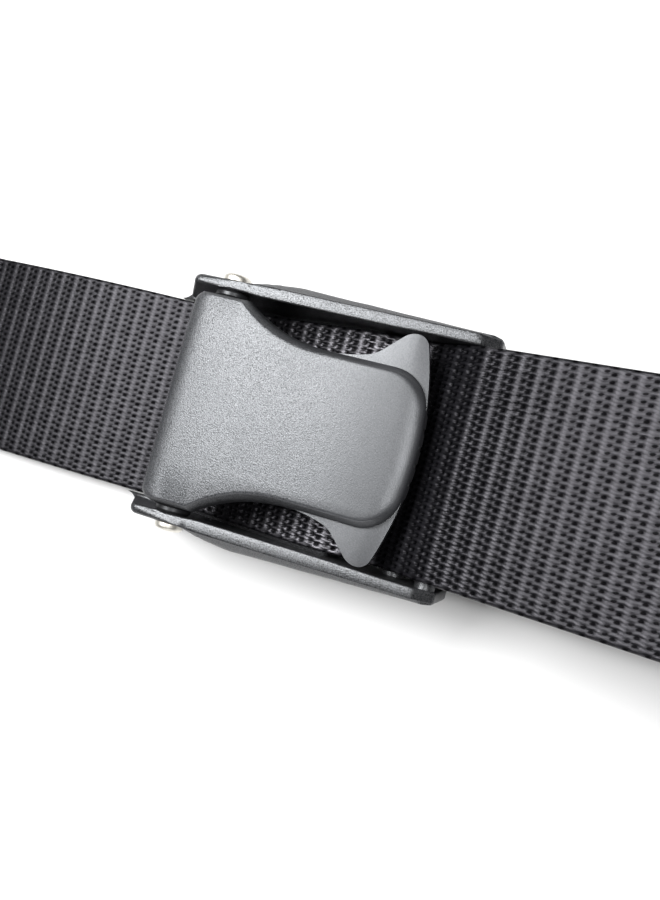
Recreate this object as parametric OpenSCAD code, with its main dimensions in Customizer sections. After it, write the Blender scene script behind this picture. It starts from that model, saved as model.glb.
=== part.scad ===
// Dive weight belt with a cam-lever buckle, closed, its spare strap rolled up.
// Lengths are in millimetres and angles in degrees.
// +X runs along the belt towards the tail, +Y across it, +Z up.
// The origin is on the resting face, below the middle of the buckle's rails.

/* [Strap] */
// Width of the webbing
strap_w = 50; // [46:1:54]
// Thickness of the webbing
strap_t = 1.8; // [1.6:0.1:2]
// Slope of the strap along the floor plate, over the end bar and along the tail
tail_rise = 18.5; // [17.5:0.1:19]
// Straight length of the tail past the frame
tail_l = 50; // [44:1:60]
// Bend radius near the tail's free end
tail_bend_r = 60; // [50:1:80]
// Turn of the bend near the tail's free end
tail_bend = 28; // [15:1:32]
// Bend radius where the strap enters the frame
entry_r = 25; // [20:1:30]
// Distance of that bend inside the end of the rails
entry_in = 0.7; // [0.4:0.1:1.4]
// Distance from the frame at which the strap lifts off the run below it
lift_away = 61; // [56:1:66]
// Half turns of the rolled-up spare length
roll_halves = 9; // [5:2:11]
// Outer radius of the innermost half turn
roll_core_r = 12; // [11:0.5:14]
// Distance of the roll's centre from the frame
roll_away = 180; // [160:1:200]
// Gap between two layers of the roll
roll_gap = 0.2; // [0.15:0.05:0.3]

/* [Frame] */
// Length of the side walls along their top
frame_l = 70.8; // [69:0.1:74]
// Reach of the walls' foot past their top at the strap's entry
foot_l = 12.4; // [11:0.1:13]
// Space beside the strap on each side
side_gap = 1; // [0.8:0.1:1.4]
// Thickness of a side wall at its top
wall_t = 2.3; // [2:0.1:2.8]
// Height of the walls above the strap at its entry
wall_h = 21.3; // [21:0.1:22]
// Thickness of the floor plate
floor_t = 2.7; // [2.5:0.1:3]
// Length of the floor plate's slope under the strap
floor_l = 44; // [38:1:48]
// Space between the floor plate and the strap
floor_gap = 0.05; // [0.03:0.01:0.1]
// Rounding of the walls' upper corners at the strap's entry
entry_corner_r = 2; // [1.5:0.1:3]
// Rounding of the walls' upper corners at the tail
tail_corner_r = 4.5; // [3.5:0.1:5]
// Rounding of the walls' lower corners
foot_r = 4; // [2:0.1:5]
// Outward swell of a side wall next to the hinge
swell = 2.4; // [1.8:0.1:2.6]
// Outward swell of a side wall at the tail
swell_end = 1.6; // [1.2:0.1:1.8]
// Length over which the swell comes up next to the hinge
swell_rise_l = 4.4; // [3:0.1:6]
// Depth of the swell's upper edge below the rail
swell_drop = 1.4; // [1.2:0.1:2]
// Height of the swell's rounding
swell_h = 6; // [5:0.1:7]
// Height of the swell's lower edge above the walls' foot
swell_foot = 3; // [2.5:0.1:4]
// Diameter of the end bar under the tail
end_bar_d = 4.4; // [4:0.1:4.6]
// Distance of the end bar from the walls' end
end_bar_in = 0.6; // [0.5:0.1:1]
// Diameter of the fixing bar
fix_bar_d = 5; // [4.6:0.1:5.2]
// Depth of the fixing bar below the walls' top
fix_bar_drop = 14; // [13.5:0.1:14.5]
// Distance of the fixing bar from the walls' end
fix_bar_in = 11.5; // [11:0.1:12.5]
// Reach of the fixed end's turn past the walls
turn_out = 10; // [9:0.5:12]

/* [Hinge] */
// Diameter of the hinge pin
pin_d = 4; // [3.6:0.1:4.4]
// Radial clearance of the pin in its bores
pin_clear = 0.05; // [0.02:0.01:0.08]
// Distance of the pin from the end of the rails
pin_in = 8.5; // [8.1:0.1:9]
// Depth of the pin below the walls' top
pin_drop = 4; // [3.8:0.1:4.4]
// Diameter of the pin's head and of its cap
head_d = 6.5; // [6:0.1:7]
// Thickness of the pin's head and of its cap
head_t = 1.8; // [1.4:0.1:2]
// Diameter of a spacer
spacer_d = 8; // [6.4:0.1:8.4]
// Thickness of a spacer
spacer_t = 1.7; // [1.4:0.1:1.9]
// End play at each face of a spacer
spacer_play = 0.1; // [0.05:0.01:0.2]

/* [Lever] */
// Length of the lever from the pin to its tip
lever_l = 51.5; // [50:0.5:53]
// Reach of the hinge end past the pin
nose_l = 6.1; // [5.6:0.1:6.6]
// Radius of the barrel around the pin
barrel_r = 4.8; // [4.5:0.1:5]
// Thickness of the finger tabs
tab_t = 2; // [1.8:0.1:2.2]
// Height of the tabs' upper face above the walls
tab_up = 1.6; // [1.5:0.1:1.9]
// Space between a finger tab and its wall
tab_gap = 0.8; // [0.6:0.1:1.2]
// Height of the raised back above the tabs
back_h = 3.2; // [2.8:0.1:3.6]
// Arch radius of the raised back, along the lever
arch_r = 250; // [200:10:400]
// Rounding of the raised back at the hinge end
back_nose_r = 2.4; // [1.8:0.1:2.6]
// Rounding of the raised back at the tip
back_tip_r = 2; // [1.6:0.1:2.4]
// Corner radius of the hinge end
nose_corner_r = 1.5; // [1:0.1:2]
// Radius of the finger scoops
scoop_r = 33.2; // [31:0.2:34]
// Width that remains between the two scoops
waist_w = 34.4; // [32:0.2:36]
// Distance of the scoops' deepest place from the pin
scoop_at = 26.3; // [25.5:0.1:27]
// Turn of a scoop past its deepest place, where it tightens
scoop_turn = 16.6; // [15:0.2:18]
// Radius of a scoop's tight end next to the tab
neck_r = 6.5; // [5.5:0.1:7]
// Rounding of a tab's tip on the scoop side
tab_back_r = 4; // [3:0.1:4.4]
// Rounding of a tab's tip on the lever's tip side
tab_tip_r = 2.8; // [2:0.1:3.2]
// Radius of the tip's curve
tip_r = 75; // [68:1:85]
// Corner radius of the raised back at the tip
back_corner_r = 8.5; // [7:0.5:10]
// Width of the toothed cam
cam_w = 40; // [34:1:41]
// Gap between the cam's teeth and the strap
cam_gap = 0.3; // [0.25:0.05:0.5]
// Depth of the cam's teeth
tooth_h = 0.8; // [0.5:0.1:1]
// Number of teeth on the cam
teeth = 9; // [6:1:10]
// Turn of the cam that carries teeth
tooth_turn = 44; // [36:1:48]
// Distance of the hollows below the back from the pin
hollow_at = 16; // [15:0.5:18]
// Length of the hollows below the back
hollow_l = 29.5; // [26:0.5:30]
// Width of each hollow below the back
hollow_w = 13; // [11:0.5:13.5]
// Thickness of the rib between the hollows
rib_t = 2.4; // [2:0.1:3]

/* [Hidden] */
$fn = 96;
inner_w = strap_w + 2 * side_gap;
outer_w = inner_w + 2 * wall_t;
x_left = -frame_l / 2;
x_right = frame_l / 2;
floor_top = strap_t + floor_t;
wall_top = floor_top + strap_t + wall_h;
pin_x = x_left + pin_in;
pin_z = wall_top - pin_drop;
pin_at = [pin_x, pin_z];
bore_r = pin_d / 2 + pin_clear;
lift_at = [x_left - lift_away, strap_t * 1.5 + roll_gap];
entry_at = [x_left + entry_in, floor_top + strap_t / 2];
entry_rise = atan2(entry_at[1] - lift_at[1], entry_at[0] - lift_at[0]);
entry_dir = [cos(entry_rise), sin(entry_rise)];
tail_dir = [cos(tail_rise), sin(tail_rise)];
tail_up = [-sin(tail_rise), cos(tail_rise)];
bend_l = entry_r * tan((tail_rise - entry_rise) / 2);
bend_hub = entry_at - bend_l * entry_dir + entry_r * [-sin(entry_rise), cos(entry_rise)];
meet_at = entry_at - (bend_l + 1) * entry_dir;
cam_r = (pin_at - entry_at) * tail_up - strap_t / 2 - cam_gap;
bar_off = strap_t / 2 + end_bar_d / 2 + 0.1;
end_bar_x = x_right - end_bar_d / 2 - end_bar_in;
end_bar_z = entry_at[1] + (end_bar_x - bar_off * sin(tail_rise) - entry_at[0]) * tan(tail_rise)
  - bar_off * cos(tail_rise);
fix_bar_x = x_right - fix_bar_in;
fix_bar_z = wall_top - fix_bar_drop;
loop_r = fix_bar_d / 2 + strap_t / 2 + 0.05;
run_z = fix_bar_z + loop_r;
turn_x = x_right + turn_out;
turn_r = (run_z - strap_t / 2) / 2;
seam_x = x_right - 1;
roll_x = x_left - roll_away;
pair_t = 2 * (strap_t + roll_gap);
roll_r = roll_core_r + (roll_halves - 1) * pair_t / 2;
lever_w = inner_w - 2 * (spacer_t + 2 * spacer_play);
edge_y = lever_w / 2 - 0.2;
tab_y = inner_w / 2 - tab_gap;
tip_x = pin_x + lever_l;
tip_hub = [tip_x - tip_r, 0];
nose_x = pin_x - nose_l;
tab_top = wall_top + tab_up;
tab_low = tab_top - tab_t;
scoop_hub = [pin_x + scoop_at, waist_w / 2 + scoop_r];
scoop_open = acos((scoop_hub[1] - edge_y) / scoop_r);

// Points of a circular arc from angle a to angle b
function arc(c, r, a, b, n) =
  [for (i = [0 : n])
    let (turn = a + (b - a) * i / n)
    c + r * [cos(turn), sin(turn)]];

// Unit vector from one point to another
function unit(a, b) = (b - a) / norm(b - a);

// Side vector at one point of a path, long enough to keep the thickness in a bend
function side(p, i) =
  let (
    d0 = i > 0 ? unit(p[i - 1], p[i]) : unit(p[0], p[1]),
    d1 = i < len(p) - 1 ? unit(p[i], p[i + 1]) : d0,
    u = (d0 + d1) / norm(d0 + d1)
  ) [-u[1], u[0]] / (u * d0);

// Outline of a strap of even thickness along a path
function band(p, t) = concat(
  [for (i = [0 : len(p) - 1]) p[i] + side(p, i) * t / 2],
  [for (i = [len(p) - 1 : -1 : 0]) p[i] - side(p, i) * t / 2]
);

// A closed outline, drawn clockwise, with a rounding of its own at each corner
function rounded(p, r, n) =
  let (m = len(p))
  [for (i = [0 : m - 1])
    let (
      a = unit(p[i], p[(i + m - 1) % m]),
      b = unit(p[i], p[(i + 1) % m]),
      half = acos(a * b) / 2,
      c = p[i] + (a + b) / norm(a + b) * r[i] / sin(half),
      start = atan2(-a[0], a[1])
    )
    for (q = arc(c, r[i], start, start - (180 - 2 * half), n)) q];

// A profile in the X-Z plane drawn out across the belt
module across(w) {
  rotate([90, 0, 0])
    linear_extrude(height = w, center = true)
      children();
}

// A round rod across the belt
module rod(x, z, r, w) {
  translate([x, 0, z])
    rotate([90, 0, 0])
      cylinder(h = w, r = r, center = true);
}

// Strap along a path
module strap(p) {
  across(strap_w)
    polygon(band(p, strap_t));
}

// Half a turn of one layer of the roll
module half_ring(z, r, t, turn) {
  translate([roll_x, 0, z])
    rotate([90, 0, 0])
      rotate([0, 0, turn])
        rotate_extrude(angle = 180)
          translate([r - t, -strap_w / 2])
            square([t, strap_w]);
}

// Outline of a side wall: a slanted end at the strap's entry, an upright end at the tail
module wall_profile() {
  polygon(rounded(
    [
      [x_left, wall_top],
      [x_right, wall_top],
      [x_right, strap_t],
      [x_left - foot_l, strap_t]
    ],
    [entry_corner_r, tail_corner_r, foot_r, foot_r],
    10
  ));
}

// Section of a wall's swell, from its lower edge outwards and up to the rail
module swell_profile(s) {
  low = strap_t + swell_foot;
  high = wall_top - swell_drop;
  y0 = outer_w / 2;
  polygon(concat(
    [[s * (y0 - 0.5), high], [s * (y0 - 0.5), low], [s * y0, low], [s * (y0 + swell), low + 3]],
    [for (a = [0 : 15 : 90]) [s * (y0 + swell * cos(a)), high - swell_h + swell_h * sin(a)]]
  ));
}

// A side wall's swell, on the side given by s
module wall_swell(s) {
  x0 = pin_x + head_d / 2 + 0.3;
  y0 = outer_w / 2;
  intersection() {
    translate([0, 0, strap_t])
      linear_extrude(height = wall_top - strap_t)
        polygon([
          [x0, s * (y0 - 0.6)],
          [x0, s * y0],
          [x0 + swell_rise_l * 0.25, s * (y0 + swell * 0.6)],
          [x0 + swell_rise_l * 0.6, s * (y0 + swell * 0.9)],
          [x0 + swell_rise_l, s * (y0 + swell)],
          [x_right - 2, s * (y0 + swell_end)],
          [x_right - 0.7, s * (y0 + swell_end * 0.7)],
          [x_right - 0.3, s * y0],
          [x_right - 0.3, s * (y0 - 0.6)]
        ]);
    translate([x_left, 0, 0])
      rotate([90, 0, 90])
        linear_extrude(height = frame_l)
          swell_profile(s);
  }
}

// One side wall with its swell, on the side given by s
module side_wall(s) {
  translate([0, s * (inner_w + wall_t) / 2, 0])
    across(wall_t)
      wall_profile();
  wall_swell(s);
}

// Section of the floor plate: level at the strap's entry, then sloped under the strap
module floor_profile() {
  down = strap_t / 2 + floor_gap;
  entry_up = [-entry_dir[1], entry_dir[0]];
  start = entry_at + (x_left - foot_l + foot_r - entry_at[0]) * entry_dir - down * entry_up;
  end = entry_at + floor_l * tail_dir - down * tail_up;
  polygon(concat(
    [[start[0], strap_t], start],
    arc(bend_hub, entry_r + down, -90 + entry_rise, -90 + tail_rise, 8),
    [end, end - floor_t * tail_up, [entry_at[0] + 2, strap_t]]
  ));
}

module buckle_frame() {
  color([0.2, 0.2, 0.21])
    difference() {
      union() {
        side_wall(1);
        side_wall(-1);
        across(inner_w + 2)
          floor_profile();
        rod(end_bar_x, end_bar_z, end_bar_d / 2, inner_w + 2);
        rod(fix_bar_x, fix_bar_z, fix_bar_d / 2, inner_w + 2);
      }
      rod(pin_x, pin_z, bore_r, outer_w + 4);
    }
}

// Hinge end and scoop of the lever's outline, up to a turn past the scoop's deepest place
function scoop_half(turn, n) = concat(
  arc([nose_x + nose_corner_r, edge_y - nose_corner_r], nose_corner_r, 180, 90, 4),
  arc(scoop_hub, scoop_r, -90 - scoop_open, -90 + turn, n)
);

// Half of the lever's outline, from the hinge end along +Y, by scoop and tab, to the middle of the tip
function lever_half() =
  let (
    neck_hub = scoop_hub + (scoop_r - neck_r) * [sin(scoop_turn), -cos(scoop_turn)],
    tip_in = tip_r - tab_tip_r,
    turn = asin((tab_y - tab_tip_r) / tip_in),
    ear_hub = tip_hub + tip_in * [cos(turn), sin(turn)],
    back_hub = ear_hub + [0, tab_tip_r - tab_back_r],
    gap = back_hub - neck_hub,
    rise = asin(min(1, (neck_r + tab_back_r) / norm(gap))) - atan2(-gap[1], gap[0])
  ) concat(
    scoop_half(scoop_turn, 22),
    arc(neck_hub, neck_r, -90 + scoop_turn + 4, -90 + rise, 8),
    arc(back_hub, tab_back_r, 90 + rise, 90, 8),
    arc(ear_hub, tab_tip_r, 80, turn, 8),
    arc(tip_hub, tip_r, turn - 1.5, 0, 12)
  );

// Half of the raised back's outline, from the hinge end along +Y to the middle of the tip
function back_half() =
  let (
    in_r = tip_r - back_corner_r,
    turn = asin((waist_w / 2 - back_corner_r) / in_r),
    corner_hub = tip_hub + in_r * [cos(turn), sin(turn)]
  ) concat(
    scoop_half(0, 16),
    arc(corner_hub, back_corner_r, 90, turn, 10),
    arc(tip_hub, tip_r, turn * 0.75, 0, 3)
  );

// The whole outline, its second half mirrored
function mirrored(h) = concat(h, [for (i = [len(h) - 2 : -1 : 0]) [h[i][0], -h[i][1]]]);

// A closed outline drawn in by a distance
function drawn_in(p, d) =
  let (n = len(p))
  [for (i = [0 : n - 1])
    let (
      d0 = unit(p[(i + n - 1) % n], p[i]),
      d1 = unit(p[i], p[(i + 1) % n]),
      u = (d0 + d1) / norm(d0 + d1)
    ) p[i] - d * [-u[1], u[0]] / (u * d0)];

// Height of the arched back at a place along the lever
function arch_z(x) = tab_top + back_h - arch_r + sqrt(arch_r ^ 2 - (x - (nose_x + tip_x) / 2) ^ 2);

// Section of the raised back: a round hinge end, a slight arch and a round tip
module back_profile() {
  x0 = nose_x + 0.2 + back_nose_r;
  x1 = tip_x - 0.6 - back_tip_r;
  polygon(concat(
    [[tip_x, tab_top - 0.6], [nose_x + 0.2, tab_top - 0.6]],
    arc([x0, arch_z(x0) - back_nose_r], back_nose_r, 180, 90, 8),
    [for (i = [1 : 11]) [x0 + (x1 - x0) * i / 12, arch_z(x0 + (x1 - x0) * i / 12)]],
    arc([x1, arch_z(x1) - back_tip_r], back_tip_r, 90, 20, 6)
  ));
}

// Raised back of the lever
module raised_back() {
  intersection() {
    translate([0, 0, tab_top - 0.8])
      linear_extrude(height = back_h + 4)
        polygon(drawn_in(mirrored(back_half()), 0.5));
    across(lever_w + 4)
      back_profile();
  }
}

// Section of the cam: a heel that runs in under the hinge, and teeth that meet the strap
module cam_profile() {
  a0 = tail_rise - tooth_turn / 2;
  step = tooth_turn / (2 * teeth);
  heel = [for (a = [-30, -22, -14, -6]) [a0 + a, cam_r - 1 + a * 0.06]];
  grip = [for (i = [0 : 2 * teeth]) [a0 + i * step, cam_r - (i % 2 == 0 ? tooth_h : 0)]];
  polygon(concat(
    [[pin_x - 3, tab_low + 0.4], [pin_x - 3, pin_z]],
    [for (p = concat(heel, grip)) [pin_x + p[1] * sin(p[0]), pin_z - p[1] * cos(p[0])]],
    [[pin_x + 11, pin_z - 4], [pin_x + 13, tab_low + 0.4]]
  ));
}

module lever() {
  color([0.24, 0.24, 0.25])
    difference() {
      union() {
        translate([0, 0, tab_low])
          linear_extrude(height = tab_t)
            polygon(mirrored(lever_half()));
        raised_back();
        rod(pin_x, pin_z, barrel_r, lever_w);
        across(cam_w)
          cam_profile();
      }
      rod(pin_x, pin_z, bore_r, lever_w + 4);
      for (s = [-1, 1])
        translate([pin_x + hollow_at, s * (rib_t + hollow_w) / 2 - hollow_w / 2, tab_low - 1])
          cube([hollow_l, hollow_w, tab_t + 1.4]);
    }
}

// A shallow domed head on the pin's axis, from its seat outwards
module head() {
  rotate_extrude()
    polygon([
      [0, 0],
      [head_d / 2, 0],
      [head_d / 2, head_t * 0.55],
      [head_d / 2 - 0.5, head_t * 0.85],
      [head_d / 2 - 1.3, head_t],
      [0, head_t]
    ]);
}

module hinge_pin() {
  color([0.75, 0.74, 0.72])
    union() {
      translate([pin_x, outer_w / 2, pin_z])
        rotate([-90, 0, 0])
          head();
      translate([pin_x, outer_w / 2 + 0.2, pin_z])
        rotate([90, 0, 0])
          cylinder(h = outer_w + 0.2 + head_t * 0.6, d = pin_d);
    }
}

module pin_cap() {
  color([0.75, 0.74, 0.72])
    difference() {
      translate([pin_x, -outer_w / 2, pin_z])
        rotate([90, 0, 0])
          head();
      translate([pin_x, -outer_w / 2 + 1, pin_z])
        rotate([90, 0, 0])
          cylinder(h = 1 + head_t * 0.6, d = pin_d);
    }
}

// Ring on the pin between the lever and a wall
module spacer(s) {
  color([0.12, 0.12, 0.12])
    translate([pin_x, s * (inner_w / 2 - spacer_play - spacer_t / 2), pin_z])
      rotate([90, 0, 0])
        difference() {
          cylinder(h = spacer_t, d = spacer_d, center = true);
          cylinder(h = spacer_t + 2, r = bore_r, center = true);
        }
}

module spacer_far() {
  spacer(1);
}

module spacer_near() {
  spacer(-1);
}

// Path of the sewn end: seam, loop around the fixing bar, run to the right, turn to below
module strap_fixed_end() {
  hub = [fix_bar_x, fix_bar_z];
  meet = [seam_x, run_z - strap_t - 0.02];
  far = norm(meet - hub);
  lean = atan2(meet[1] - hub[1], meet[0] - hub[0]);
  off = lean - acos(loop_r / far);
  color([0.07, 0.07, 0.09])
    strap(concat(
      [[turn_x - 1, meet[1]], meet],
      arc(hub, loop_r, off, -270, 24),
      arc([turn_x, run_z - turn_r], turn_r, 90, -90, 24)
    ));
}

module strap_under_run() {
  color([0.07, 0.07, 0.09])
    translate([roll_x, -strap_w / 2, 0])
      cube([turn_x - roll_x, strap_w, strap_t]);
}

// The spare length, doubled and rolled, with its fold at the core
module strap_roll() {
  color([0.07, 0.07, 0.09])
    union() {
      for (k = [0 : roll_halves - 1]) {
        r = roll_r - k * pair_t / 2;
        z = k % 2 == 0 ? roll_r : roll_r + pair_t / 2;
        half_ring(z, r, strap_t, k % 2 == 0 ? 90 : -90);
        half_ring(z, r - strap_t - roll_gap, strap_t, k % 2 == 0 ? 90 : -90);
      }
      half_ring(roll_r + roll_core_r - strap_t - roll_gap / 2, strap_t + roll_gap / 2, strap_t, -90);
    }
}

// The strap from the roll to the frame, first flat on the run below it
module strap_left_run() {
  color([0.07, 0.07, 0.09])
    strap([[roll_x, lift_at[1]], lift_at, meet_at]);
}

// The strap through the frame and out as the tail
module strap_tail() {
  end_x = x_right + tail_l;
  end = entry_at + (end_x - entry_at[0]) / cos(tail_rise) * tail_dir;
  hub = end - tail_bend_r * tail_up;
  color([0.07, 0.07, 0.09])
    strap(concat(
      [meet_at],
      arc(bend_hub, entry_r, -90 + entry_rise, -90 + tail_rise, 10),
      arc(hub, tail_bend_r, 90 + tail_rise, 90 + tail_rise - tail_bend, 14)
    ));
}

buckle_frame();
lever();
hinge_pin();
pin_cap();
spacer_far();
spacer_near();
strap_fixed_end();
strap_under_run();
strap_roll();
strap_left_run();
strap_tail();
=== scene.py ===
from math import acos, asin, atan2, ceil, copysign, cos, degrees, hypot, pi, radians, sin, sqrt, tan

import bmesh
import bpy
import numpy as np
from mathutils import Matrix, Vector


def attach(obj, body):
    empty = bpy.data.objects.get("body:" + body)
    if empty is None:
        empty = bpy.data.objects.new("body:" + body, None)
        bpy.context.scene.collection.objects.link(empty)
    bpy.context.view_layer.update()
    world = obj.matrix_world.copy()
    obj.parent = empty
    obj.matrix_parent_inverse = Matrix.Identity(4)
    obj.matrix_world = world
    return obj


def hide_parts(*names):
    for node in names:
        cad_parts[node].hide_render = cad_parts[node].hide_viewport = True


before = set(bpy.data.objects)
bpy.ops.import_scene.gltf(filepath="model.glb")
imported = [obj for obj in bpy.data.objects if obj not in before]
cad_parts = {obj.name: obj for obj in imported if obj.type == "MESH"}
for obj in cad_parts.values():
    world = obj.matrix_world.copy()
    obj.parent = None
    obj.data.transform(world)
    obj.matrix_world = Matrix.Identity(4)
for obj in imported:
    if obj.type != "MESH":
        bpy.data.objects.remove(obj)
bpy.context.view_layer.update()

MM = 0.001
QUARTER = pi / 2

# Axes of a vector

X, Y, Z = 0, 1, 2

# Colour sockets of a mix node

MIX_A, MIX_B, MIX_OUT = 6, 7, 2

# Strap; sizes are in metres, unless a name says MM or PX

STRAP_W = 50 * MM
STRAP_T = 1.8 * MM
RIB_STEP = 4.03 * MM
YARNS = 66
YARN_STEP = STRAP_W / YARNS
TAIL_RISE = radians(18.5)
TAIL_L = 50 * MM
TAIL_BEND_R = 60 * MM
TAIL_BEND = radians(28)
ENTRY_R = 25 * MM
LIFT_AWAY = 61 * MM
MEET_L = 1 * MM
ROLL_AWAY = 180 * MM
ROLL_GAP = 0.2 * MM
ROLL_HALVES = 9
ROLL_CORE_R = 12 * MM
SEALED_L = 2.5 * MM
SEAM_GAP = 0.02 * MM
SEAT_GAP = 0.05 * MM

# Slack of the tail between the floor plate and the end bar

SLACK_X = 3 * MM
SLACK_RISE = radians(38)
CREST_R = 20 * MM
SAG_R = 9 * MM
OVER_X = 34.5 * MM
OVER_R = 14 * MM

# Low arch of the left run

ARCH_RISE = radians(9)
ARCH_FALL = radians(4.3)
DIP_R = 50 * MM

# Weave: where in a rib step the yarns dive, and what changes along the tail

EVEN_DIP = 1 / 3
ODD_DIP = 0.7
WANDER = 0.22
DOT_ROUND = (RIB_STEP / YARN_STEP / 1.9) ** 2
RIB_LIFT = 0.32
# Under the lever the shader's ribs lie flatter and the webbing's specular is raised: a painted sheen that
# makes the webbing in the scoops glint brighter than the lamps light it.
RIB_LIFT_UNDER_LEVER = 0.06
PAINTED_SHEEN_UNDER_LEVER = 2.4
UNDER_LEVER_X = (14 * MM, 23 * MM)
DEEPER = 1.5
DEEP_X = (30 * MM, 55 * MM)
SPREAD = 1.01
DRIFT = 0.75 * MM
DRIFT_X = (-5 * MM, 30 * MM)

# Frame

FRAME_L = 70.8 * MM
FOOT_L = 12.4 * MM
SIDE_GAP = 1 * MM
INNER_W = STRAP_W + 2 * SIDE_GAP
WALL_T = 2.3 * MM
WALL_H = 21.3 * MM
OUTER_W = INNER_W + 2 * WALL_T
FLOOR_T = 2.7 * MM
FLOOR_L = 44 * MM
FLOOR_TOP = STRAP_T + FLOOR_T
SEAT_IN = 0.8 * MM
SEAT_DROP = 1.6 * MM
WALL_LOW = STRAP_T
WALL_TOP = FLOOR_TOP + STRAP_T + WALL_H
X_LEFT = -FRAME_L / 2
X_RIGHT = FRAME_L / 2
ENTRY_CORNER_R = 2 * MM
ENTRY_OUTER_R = 1.5 * MM
ENTRY_INNER_R = 0.7 * MM
WALL_EDGE_R = 0.4 * MM
END_DROP = 3.2 * MM
END_SLOPE_L = 4.8 * MM
END_CORNER_R = 1.2 * MM
FOOT_R = 4 * MM
FLARE_R = WALL_T + 0.4 * MM
FLARE_X = X_LEFT - FOOT_L + 2.6 * MM
FLARE_SINK = 5 * MM
FLARE_LOW_H = 2 * MM
FLARE_RISE = 2.2 * MM
SWELL = 1.9 * MM
SWELL_END = 0.4 * MM
SWELL_END_L = 2 * MM
SWELL_RISE_L = 13 * MM
SWELL_DROP = 1.4 * MM
SWELL_H = 2.6 * MM
SWELL_FOOT = 3 * MM
SWELL_FOOT_H = 3 * MM
RAIL_OUT = 0.25 * MM
RAIL_IN = 0.3 * MM
RAIL_START_L = 4 * MM
RAIL_FADE_X = (10 * MM, 25 * MM)
END_BAR_R = 2.2 * MM
FIX_BAR_R = 2.5 * MM
SINK = 1 * MM

# Hinge

PIN_X = X_LEFT + 8.5 * MM
PIN_Z = WALL_TOP - 4 * MM
PIN_R = 2 * MM
BORE_R = PIN_R + 0.05 * MM
HEAD_R = 3.25 * MM
HEAD_T = 1.8 * MM
HEAD_EDGE = 0.1 * MM
HEAD_CLEAR = 0.3 * MM
DOME_L = 1.3 * MM
DIMPLE_R = 1.5 * MM
DIMPLE_T = 0.2 * MM
SPACER_R = 4 * MM
SPACER_T = 1.7 * MM
SPACER_EDGE = 0.5 * MM
SPACER_GAP = 0.1 * MM

# Lever

LEVER_W = INNER_W - 2 * (SPACER_T + 2 * SPACER_GAP)
EDGE_Y = LEVER_W / 2 - 0.2 * MM
TAB_Y = INNER_W / 2 - 0.8 * MM
TAB_T = 2 * MM
TAB_DROOP_R = 130 * MM
TAB_EDGE_R = 1.5 * MM
TAB_FOOT_R = 0.35 * MM
TAB_TOP = WALL_TOP + 1.6 * MM
TAB_LOW = TAB_TOP - TAB_T
ARCH_R = 250 * MM
NOSE_X = PIN_X - 6.1 * MM
NOSE_SHORT = 0.7 * MM
NOSE_CORNER_R = 1.5 * MM
BACK_H = 3.2 * MM
BACK_NOSE_CORNER_R = 2.6 * MM
FRONT_ROUND_L = 4.5 * MM
TIP_ROUND_L = 4.2 * MM
BARREL_R = 4.8 * MM
BARREL_EDGE_R = 0.5 * MM
TIP_X = PIN_X + 51.5 * MM
TIP_R = 75 * MM
TIP_HUB_X = TIP_X - TIP_R
WAIST = 17.2 * MM
BACK_CORNER_R = 8.5 * MM
BACK_CORNER_Y = WAIST - BACK_CORNER_R
BACK_CORNER_X = TIP_HUB_X + sqrt((TIP_R - BACK_CORNER_R) ** 2 - BACK_CORNER_Y ** 2)
SCOOP_R = 33.2 * MM
SCOOP_X = PIN_X + 26.3 * MM
SCOOP_Y = WAIST + SCOOP_R
SCOOP_TURN = radians(16.6)
NECK_R = 6.5 * MM
TAB_BACK_R = 4 * MM
TAB_TIP_R = 2.8 * MM
HOLLOW_X = (PIN_X + 16 * MM, PIN_X + 45.5 * MM)
HOLLOW_Y = (1.2 * MM, 14.2 * MM)
HOLLOW_H = 1.6 * MM
HOLLOW_LEAN = 0.4 * MM
CAM_W = 40 * MM
CAM_BACK_X = PIN_X - 3 * MM
CAM_EDGE_R = 0.12 * MM
TEETH = 9
TOOTH_H = 0.8 * MM
TOOTH_TURN = 44
HEEL_TURNS = (-30, -22, -14, -6)
HEEL_DROP = 1 * MM
HEEL_PER_DEGREE = 0.06 * MM

# The raised back's sides: the foot, then steps inward and up to the crisp upper edge

BACK_OUT = 0.08 * MM
BACK_SINK = 0.25 * MM
BACK_FOOT_H = 0.45 * MM
BACK_FOOT_OUT = 0.3 * MM
BACK_FOOT_DROP = TAB_T - 0.6 * MM
BACK_STEPS_MM = ((0.1, 0.5), (0.5, 1.0), (0.5, 1.0), (0.15, 0.25), (0.25, 0.15), (0.4, 0.08))

# Places along the strap's run that follow from the sizes above

LIFT_X = X_LEFT - LIFT_AWAY
LIFT_Z = STRAP_T * 1.5 + ROLL_GAP
ENTRY_X = X_LEFT + 0.7 * MM
ENTRY_Z = FLOOR_TOP + STRAP_T / 2
ENTRY_RISE = atan2(ENTRY_Z - LIFT_Z, ENTRY_X - LIFT_X)
BEND_L = ENTRY_R * tan((TAIL_RISE - ENTRY_RISE) / 2)
BEND_X = ENTRY_X - BEND_L * cos(ENTRY_RISE) - ENTRY_R * sin(ENTRY_RISE)
BEND_Z = ENTRY_Z - BEND_L * sin(ENTRY_RISE) + ENTRY_R * cos(ENTRY_RISE)
MEET_X = ENTRY_X - (BEND_L + MEET_L) * cos(ENTRY_RISE)
MEET_Z = ENTRY_Z - (BEND_L + MEET_L) * sin(ENTRY_RISE)
BAR_OFF = STRAP_T / 2 + END_BAR_R + 1.2 * MM
END_BAR_X = X_RIGHT - END_BAR_R - 0.6 * MM
END_BAR_Z = (ENTRY_Z + (END_BAR_X - BAR_OFF * sin(TAIL_RISE) - ENTRY_X) * tan(TAIL_RISE)
             - BAR_OFF * cos(TAIL_RISE))
CAM_R = ((PIN_Z - ENTRY_Z) * cos(TAIL_RISE) - (PIN_X - ENTRY_X) * sin(TAIL_RISE)
         - STRAP_T / 2 - 0.3 * MM)
FIX_BAR_X = X_RIGHT - 11.5 * MM
FIX_BAR_Z = WALL_TOP - 14 * MM
LOOP_R = FIX_BAR_R + STRAP_T / 2 + SEAT_GAP
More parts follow.
